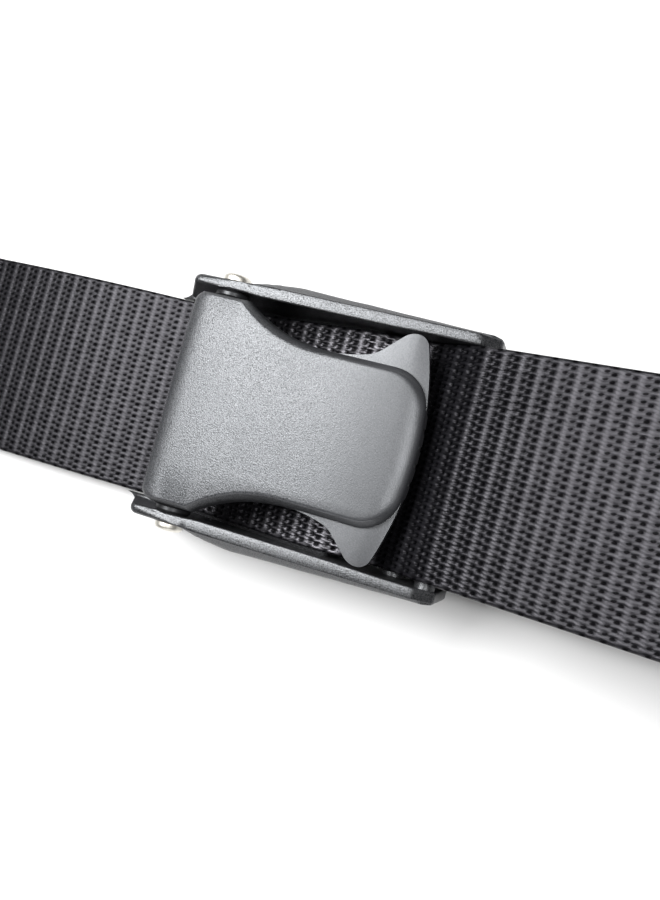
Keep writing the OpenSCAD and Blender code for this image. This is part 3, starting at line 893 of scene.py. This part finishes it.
def tab_plate():
    """The lever's lower level: hinge end and finger tabs, hollowed from below."""
    bm = bmesh.new()
    plate_outline(bm)
    draw_up(bm, TAB_T)
    bmesh.ops.recalc_face_normals(bm, faces=bm.faces)
    tab_start = SCOOP_X + 3 * MM
    rims = [e for e in bm.edges if lowest(e, Z) > TAB_T / 2 and lowest(e, X) > tab_start]
    round_edges(bm, rims, TAB_EDGE_R, 6, clamp=True)
    feet = [e for e in bm.edges if highest(e, Z) < 1e-7]
    round_edges(bm, feet, TAB_FOOT_R, 3, clamp=True)
    hollow_below(bm)
    droop_start = SCOOP_X + 6 * MM
    for v in bm.verts:
        v.co.z -= max(0.0, v.co.x - droop_start) ** 2 / (2 * TAB_DROOP_R)
        if v.co.x < NOSE_X + 1 * MM:
            v.co.x += NOSE_SHORT
    bmesh.ops.translate(bm, verts=bm.verts, vec=(0, 0, TAB_LOW))
    return bm


def raised_back():
    """The lever's upper level: sides that lean in, a round hinge end and a slightly arched top."""
    bm = bmesh.new()
    face = back_outline(bm, -BACK_OUT)
    if face.normal.z < 0:
        face.normal_flip()
    foot = bmesh.ops.extrude_face_region(bm, geom=[face])
    top = [f for f in foot["geom"] if isinstance(f, bmesh.types.BMFace)][0]
    bmesh.ops.translate(bm, verts=top.verts[:], vec=(0, 0, BACK_FOOT_H))
    bmesh.ops.recalc_face_normals(bm, faces=bm.faces)
    under = [f for f in bm.faces if highest(f, Z) < 0.01 * MM]
    bmesh.ops.inset_region(bm, faces=under, thickness=1 * MM, use_even_offset=True)
    rim = [e for e in bm.edges if e.calc_face_angle(0) > 1 and highest(e, Z) < 0.01 * MM]
    rim = {v for e in rim for v in e.verts}
    levels = [BACK_FOOT_H]
    inward = [0.0]
    for aside, up in BACK_STEPS_MM:
        bmesh.ops.inset_region(bm, faces=[top], thickness=aside * MM, depth=up * MM, use_even_offset=True)
        levels.append(levels[-1] + up * MM)
        inward.append(inward[-1] + aside * MM)
    for y in range(-14, 15, 4):
        cut(bm, Y, y * MM)
    for v in bm.verts:
        k = min(range(len(levels)), key=lambda i: abs(levels[i] - v.co.z))
        if v.co.z > BACK_FOOT_H / 2:
            turn = QUARTER * k / (len(levels) - 1)
            lift = BACK_FOOT_H + (levels[-1] - BACK_FOOT_H) * sin(turn) - levels[k]
            round_hinge_end(v, turn, lift, inward[k])
            round_tip(v, turn, lift, inward[k])
    for v in rim:
        draw_foot_down(v)
    for x in np.arange(NOSE_X + 7 * MM, TIP_X - 5 * MM, 2.2 * MM):
        cut(bm, X, x)
    middle = (NOSE_X + TIP_X) / 2
    for v in bm.verts:
        v.co.z -= max(0.0, v.co.z / BACK_H) * (v.co.x - middle) ** 2 / (2 * ARCH_R)
    bmesh.ops.translate(bm, verts=bm.verts, vec=(0, 0, TAB_TOP - BACK_SINK))
    return bm


def round_hinge_end(v, turn, lift, inward):
    """Moves a vertex of the leaning sides to a long round edge at the hinge end."""
    front = 1 - float(smooth_between(v.co.x - NOSE_X, 2 * MM, 4 * MM))
    v.co.z += front * lift
    v.co.x += front * (FRONT_ROUND_L * (1 - cos(turn)) - inward)
    side = 0.5 * (1 - float(smooth_between(v.co.x - PIN_X, 0, 18 * MM)))
    if abs(v.co.y) > WAIST - 3 * MM:
        v.co.y += copysign(side * inward, v.co.y)


def round_tip(v, turn, lift, inward):
    """Moves a vertex of the leaning sides to a soft round edge along the tip."""
    if v.co.x < BACK_CORNER_X:
        return
    over = abs(v.co.y) - BACK_CORNER_Y
    hub = Vector((TIP_HUB_X, 0, 0))
    if over > 0:
        hub = Vector((BACK_CORNER_X, copysign(BACK_CORNER_Y, v.co.y), 0))
    out = Vector((v.co.x, v.co.y, 0)) - hub
    share = 1 - float(smooth_between(over, 0, BACK_CORNER_R))
    v.co.z += share * lift
    v.co -= out.normalized() * share * (TIP_ROUND_L * (1 - cos(turn)) - inward)


def draw_foot_down(v):
    """Lets the back's foot run down over the plate's edge along the hinge end, the scoops and the tip."""
    side = copysign(1, v.co.y)
    if v.co.x > BACK_CORNER_X:
        share = 1 - float(smooth_between(abs(v.co.y) - BACK_CORNER_Y, 0, 2 * MM))
        out = Vector((v.co.x - TIP_HUB_X, v.co.y, 0))
    else:
        share = 1 - float(smooth_between(v.co.x - SCOOP_X, -2 * MM, 2 * MM))
        out = Vector((SCOOP_X - v.co.x, side * SCOOP_Y - v.co.y, 0))
        if v.co.x < NOSE_X + 1 * MM:
            out = Vector((-1, 0, 0))
        elif abs(v.co.y) > EDGE_Y - 1 * MM:
            out = Vector((0, side, 0))
    v.co += out.normalized() * share * BACK_FOOT_OUT
    v.co.z -= share * BACK_FOOT_DROP


def toothed_cam():
    """A heel that runs in under the hinge and a row of teeth that meets the strap."""
    first = degrees(TAIL_RISE) - TOOTH_TURN / 2
    polar = [(first + a, CAM_R - HEEL_DROP + a * HEEL_PER_DEGREE) for a in HEEL_TURNS]
    for i in range(2 * TEETH + 1):
        polar.append((first + i * TOOTH_TURN / (2 * TEETH), CAM_R - (TOOTH_H if i % 2 == 0 else 0)))
    top = TAB_LOW + 0.4 * MM
    bm = bmesh.new()
    v = start = bm.verts.new((CAM_BACK_X, top, 0))
    v = line_to(bm, v, CAM_BACK_X, PIN_Z)
    for a, r in polar:
        v = line_to(bm, v, PIN_X + r * sin(radians(a)), PIN_Z - r * cos(radians(a)))
    v = line_to(bm, v, PIN_X + 11 * MM, PIN_Z - 4 * MM)
    v = line_to(bm, v, PIN_X + 13 * MM, top)
    fill_outline(bm, v, start)
    drawn_across(bm, CAM_W)
    round_edges(bm, bm.edges[:], CAM_EDGE_R, 2, clamp=True)
    return bm


def lever():
    bm = tab_plate()
    join_into(bm, raised_back())
    join_into(bm, toothed_cam())
    rod(bm, PIN_X, PIN_Z, BARREL_R, LEVER_W, edge_r=BARREL_EDGE_R, segments=56)
    finish_piece(bm, "cam_lever", "lever", LEVER_PLASTIC, "lever")


# Frame

def swell_at(x, z):
    """How far a side wall stands out below its rail, at a place along it and a height."""
    rise = (x - SWELL_X) / SWELL_RISE_L
    if rise <= 0 or x > X_RIGHT - 0.3 * MM or z >= SWELL_TOP or z <= SWELL_LOW:
        return 0.0
    if rise < 1:
        along = SWELL * sin(QUARTER * rise)
    else:
        share = (x - SWELL_X - SWELL_RISE_L) / (X_RIGHT - SWELL_X - SWELL_RISE_L)
        along = SWELL + (SWELL_END - SWELL) * share
        along *= sqrt(min(1.0, (X_RIGHT - x) / SWELL_END_L))
    slope = min(1.0, (SWELL_TOP - z) / SWELL_H)
    foot = min(1.0, (z - SWELL_LOW) / SWELL_FOOT_H)
    return min(along, SWELL * slope, SWELL * foot)


def wall_corner(bm, vertex, radius, inside):
    """Rounds one corner of a wall's outline, whose inside angle is given in radians."""
    bmesh.ops.bevel(bm, geom=[vertex], offset=radius / tan(inside / 2), segments=10, profile=0.5,
                    affect="VERTICES", material=-1)


def foot_flare():
    """A foot that runs out from the wall's end to the strap's edge, hollow in plan and sloped on top."""
    outer = WALL_T / 2
    bm = bmesh.new()
    v = start = bm.verts.new((FLARE_X, outer, 0))
    v = arc_to(bm, v, FLARE_X - FLARE_R, outer, -QUARTER, 10)
    v = line_to(bm, v, FLARE_X + FLARE_SINK, outer - FLARE_R)
    v = line_to(bm, v, FLARE_X + FLARE_SINK, outer)
    fill_outline(bm, v, start)
    for step in range(10):
        cut(bm, X, FLARE_X - FLARE_R * step / 10)
    draw_up(bm, FLARE_LOW_H)
    for v in bm.verts:
        along = min(1.0, (v.co.x - FLARE_X) / FLARE_R + 1)
        if v.co.z > FLARE_LOW_H / 2:
            v.co.z += FLARE_RISE * along
        v.co.x -= (1 - along) * FLARE_R / 2
    bmesh.ops.translate(bm, verts=bm.verts, vec=(0, 0, WALL_LOW))
    return bm


def wall_blank():
    """A wall without its swell: the outline with round corners, drawn out, with all edges rounded."""
    bm = bmesh.new()
    foot_angle = atan2(WALL_TOP - WALL_LOW, FOOT_L)
    end_angle = atan2(END_DROP, END_SLOPE_L)
    outline = ((X_LEFT - FOOT_L, WALL_LOW), (X_RIGHT, WALL_LOW), (X_RIGHT, WALL_TOP - END_DROP),
               (X_RIGHT - END_SLOPE_L, WALL_TOP), (X_LEFT, WALL_TOP))
    corners = [bm.verts.new((x, z, 0)) for x, z in outline]
    bm.faces.new(corners)
    wall_corner(bm, corners[0], FOOT_R, foot_angle)
    wall_corner(bm, corners[1], FOOT_R, QUARTER)
    wall_corner(bm, corners[2], END_CORNER_R, QUARTER + end_angle)
    wall_corner(bm, corners[3], 2 * END_CORNER_R, pi - end_angle)
    wall_corner(bm, corners[4], ENTRY_CORNER_R, pi - foot_angle)
    drawn_across(bm, WALL_T)
    for side, radius, segments in ((1, ENTRY_OUTER_R, 8), (-1, ENTRY_INNER_R, 6)):
        entry = [e for e in bm.edges
                 if min(side * v.co.y for v in e.verts) > WALL_T / 2 - 1e-6
                 and highest(e, X) < X_LEFT + 1.5 * MM and highest(e, Z) > WALL_LOW + 1 * MM]
        round_edges(bm, entry, radius, segments)
    sharp = [e for e in bm.edges if len(e.link_faces) == 2 and e.calc_face_angle(0) > 1.2]
    round_edges(bm, sharp, WALL_EDGE_R, 3)
    return bm


def side_wall(side):
    """A wall with its rail and swell; the near one is the far one mirrored."""
    bm = wall_blank()
    for depth in (0, 0.1, 0.3, 0.7, 1.3, 1.9, 2.6):
        cut(bm, Z, SWELL_TOP - depth * MM)
    for height in range(4):
        cut(bm, Z, SWELL_LOW + height * MM)
    for step in range(14):
        cut(bm, X, SWELL_X + step * MM)
        cut(bm, X, X_RIGHT - (0.32 + step * 0.2) * MM)
    for step in range(10):
        cut(bm, X, PIN_X + (20 + 4 * step) * MM)
    rail = WALL_T / 2 - WALL_EDGE_R - 0.02 * MM
    for v in bm.verts:
        beside = smooth_between(v.co.x - SWELL_X, 0, RAIL_START_L)
        if v.co.y > WALL_T / 2 - 0.02 * MM:
            v.co.y += swell_at(v.co.x, v.co.z)
        if v.co.y > rail:
            v.co.y += RAIL_OUT * beside
        elif v.co.y < -rail and v.co.z > SWELL_TOP + 0.05 * MM:
            v.co.y -= RAIL_IN * beside * (1 - smooth_between(v.co.x, *RAIL_FADE_X))
    join_into(bm, foot_flare())
    bmesh.ops.translate(bm, verts=bm.verts, vec=(0, (INNER_W + WALL_T) / 2, 0))
    if side < 0:
        bmesh.ops.scale(bm, vec=(1, -1, 1), verts=bm.verts)
    return bm


def floor_plate():
    """Nearly level at the strap's entry, then sloped under the strap up to the middle of the buckle."""
    down = STRAP_T / 2 + SEAT_GAP
    bend_r = ENTRY_R + down
    start_x = X_LEFT - FOOT_L + FOOT_R
    start_z = ENTRY_Z + (start_x - ENTRY_X) * tan(ENTRY_RISE) - down
    end_x = ENTRY_X + FLOOR_L * cos(TAIL_RISE) + down * sin(TAIL_RISE)
    end_z = ENTRY_Z + FLOOR_L * sin(TAIL_RISE) - down * cos(TAIL_RISE)
    lip_x = end_x + FLOOR_T / 2 * sin(TAIL_RISE)
    lip_z = end_z - FLOOR_T / 2 * cos(TAIL_RISE)
    bm = bmesh.new()
    v = start = bm.verts.new((start_x, start_z, 0))
    v = line_to(bm, v, BEND_X + bend_r * sin(ENTRY_RISE), BEND_Z - bend_r * cos(ENTRY_RISE))
    v = arc_to(bm, v, BEND_X, BEND_Z, TAIL_RISE - ENTRY_RISE, 8)
    v = line_to(bm, v, end_x, end_z)
    v = arc_to(bm, v, lip_x, lip_z, -pi, 8)
    v = line_to(bm, v, ENTRY_X + 2 * MM, WALL_LOW)
    v = line_to(bm, v, start_x, WALL_LOW)
    fill_outline(bm, v, start)
    drawn_across(bm, INNER_W + 2 * SINK)
    for side in (-1, 1):
        cut(bm, Y, side * (STRAP_W / 2 - SEAT_IN))
    for v in bm.verts:
        if abs(v.co.y) > STRAP_W / 2 and v.co.z > WALL_LOW + 1 * MM:
            v.co.z -= SEAT_DROP
    return bm


def buckle_frame():
    bm = side_wall(1)
    join_into(bm, side_wall(-1))
    join_into(bm, floor_plate())
    rod(bm, END_BAR_X, END_BAR_Z, END_BAR_R, INNER_W + 2 * SINK)
    rod(bm, FIX_BAR_X, FIX_BAR_Z, FIX_BAR_R, INNER_W + 2 * SINK)
    finish_piece(bm, "moulded_frame", "belt", FRAME_PLASTIC, "buckle_frame")


# Hinge

def turned(bm, profile, y, outward):
    """A profile of (radius, height) turned about the pin's axis, from its seat at y outwards."""
    start = [bm.verts.new((PIN_X + r, y + outward * h, PIN_Z)) for r, h in profile]
    edges = [bm.edges.new(pair) for pair in zip(start, start[1:])]
    bmesh.ops.spin(bm, geom=start + edges, cent=(PIN_X, 0, PIN_Z), axis=(0, 1, 0), angle=2 * pi,
                   steps=48, use_merge=True)
    bmesh.ops.remove_doubles(bm, verts=bm.verts, dist=1e-6)


def head(bm, y, outward):
    """A shallow domed head with a flat dimple in its middle."""
    rim = HEAD_T * 0.45
    seat = [(0, 0), (HEAD_R - HEAD_EDGE, 0), (HEAD_R, HEAD_EDGE)]
    dome = [(HEAD_R - DOME_L * (1 - cos(a)), rim + (HEAD_T - rim) * sin(a))
            for a in np.linspace(0, QUARTER, 7)]
    low = HEAD_T - DIMPLE_T
    dimple = [(DIMPLE_R + DIMPLE_T, HEAD_T), (DIMPLE_R, low), (0, low)]
    turned(bm, seat + dome + dimple, y, outward)


def hinge_pin():
    bm = bmesh.new()
    head(bm, OUTER_W / 2, 1)
    rod(bm, PIN_X, PIN_Z, PIN_R, OUTER_W + 2 * HEAD_EDGE)
    finish_piece(bm, "nickel_pin", "belt", NICKEL, "hinge_pin")


def pin_cap():
    bm = bmesh.new()
    head(bm, -OUTER_W / 2, -1)
    finish_piece(bm, "nickel_cap", "belt", NICKEL, "pin_cap")


def spacer(side, name, node):
    """A ring with chamfered edges on the pin, between the lever and a wall."""
    edge_r = SPACER_R - SPACER_EDGE
    edge_t = SPACER_T - SPACER_EDGE
    ring = [(BORE_R, 0), (edge_r, 0), (SPACER_R, SPACER_EDGE), (SPACER_R, edge_t), (edge_r, SPACER_T),
            (BORE_R, SPACER_T), (BORE_R, 0)]
    bm = bmesh.new()
    turned(bm, ring, side * (INNER_W / 2 - SPACER_GAP), -side)
    finish_piece(bm, name, "belt", SPACER_PLASTIC, node)


# Table, light and camera

def table():
    """A white table that stays white to the eye and gives little light back to the belt."""
    material, tree, shader = start_material("white_table")
    shader.inputs["Roughness"].default_value = 0.6
    ray = put(tree, "ShaderNodeLightPath", (-400, 400)).outputs
    other = math_node(tree, "MAXIMUM", ray["Is Glossy Ray"], ray["Is Transmission Ray"], place=(-200, 300))
    seen = math_node(tree, "MAXIMUM", ray["Is Camera Ray"], other, place=(0, 400))
    colour = put(tree, "ShaderNodeMix", (300, 0), data_type="RGBA")
    colour.inputs[MIX_A].default_value = (0.35, 0.35, 0.35, 1)
    colour.inputs[MIX_B].default_value = (0.7, 0.7, 0.7, 1)
    tree.links.new(seen, colour.inputs["Factor"])
    tree.links.new(colour.outputs[MIX_OUT], shader.inputs["Base Color"])
    bm = bmesh.new()
    bmesh.ops.create_grid(bm, x_segments=1, y_segments=1, size=3)
    mesh = as_mesh(bm, "table")
    top = bpy.data.objects.new("table", mesh)
    top.location = (0, 0, -0.1 * MM)
    mesh.materials.append(material)
    bpy.context.scene.collection.objects.link(top)


def lamp(name, place, size, power):
    """A rectangular lamp that faces the buckle."""
    data = bpy.data.lights.new(name, "AREA")
    data.shape = "RECTANGLE"
    data.size, data.size_y = size
    data.energy = power
    holder = bpy.data.objects.new(name, data)
    holder.location = place
    facing = Vector((0, 0, 20 * MM)) - Vector(place)
    holder.rotation_euler = facing.to_track_quat("-Z", "Y").to_euler()
    bpy.context.scene.collection.objects.link(holder)


def light():
    world = bpy.data.worlds.new("studio")
    bpy.context.scene.world = world
    world.use_nodes = True
    background = world.node_tree.nodes["Background"]
    background.inputs["Color"].default_value = (1, 1, 1, 1)
    background.inputs["Strength"].default_value = 0.03
    lamp("softbox", (-0.29, 0.15, 0.625), size=(0.4, 0.34), power=9)
    lamp("lamp_right", (0.27, 0.03, 0.62), size=(0.05, 0.24), power=1.7)
    lamp("fill_near", (0.06, -0.55, 0.2), size=(0.5, 0.2), power=0.7)


def camera():
    """The place from which the photograph was taken."""
    data = bpy.data.cameras.new("photo_view")
    data.sensor_fit = "HORIZONTAL"
    data.sensor_width = SENSOR_W_MM
    data.lens = SENSOR_W_MM * FOCAL_PX / PHOTO_W_PX
    data.clip_start = 10 * MM
    holder = bpy.data.objects.new("photo_view", data)
    holder.location = CAMERA_PLACE
    holder.rotation_euler = CAMERA_TURN
    bpy.context.scene.collection.objects.link(holder)
    bpy.context.scene.camera = holder


camera()
whole_strap()
lever()
buckle_frame()
hinge_pin()
pin_cap()
spacer(1, "spacer_ring_far", "spacer_far")
spacer(-1, "spacer_ring_near", "spacer_near")
table()
light()
bpy.context.scene.view_settings.view_transform = "Standard"
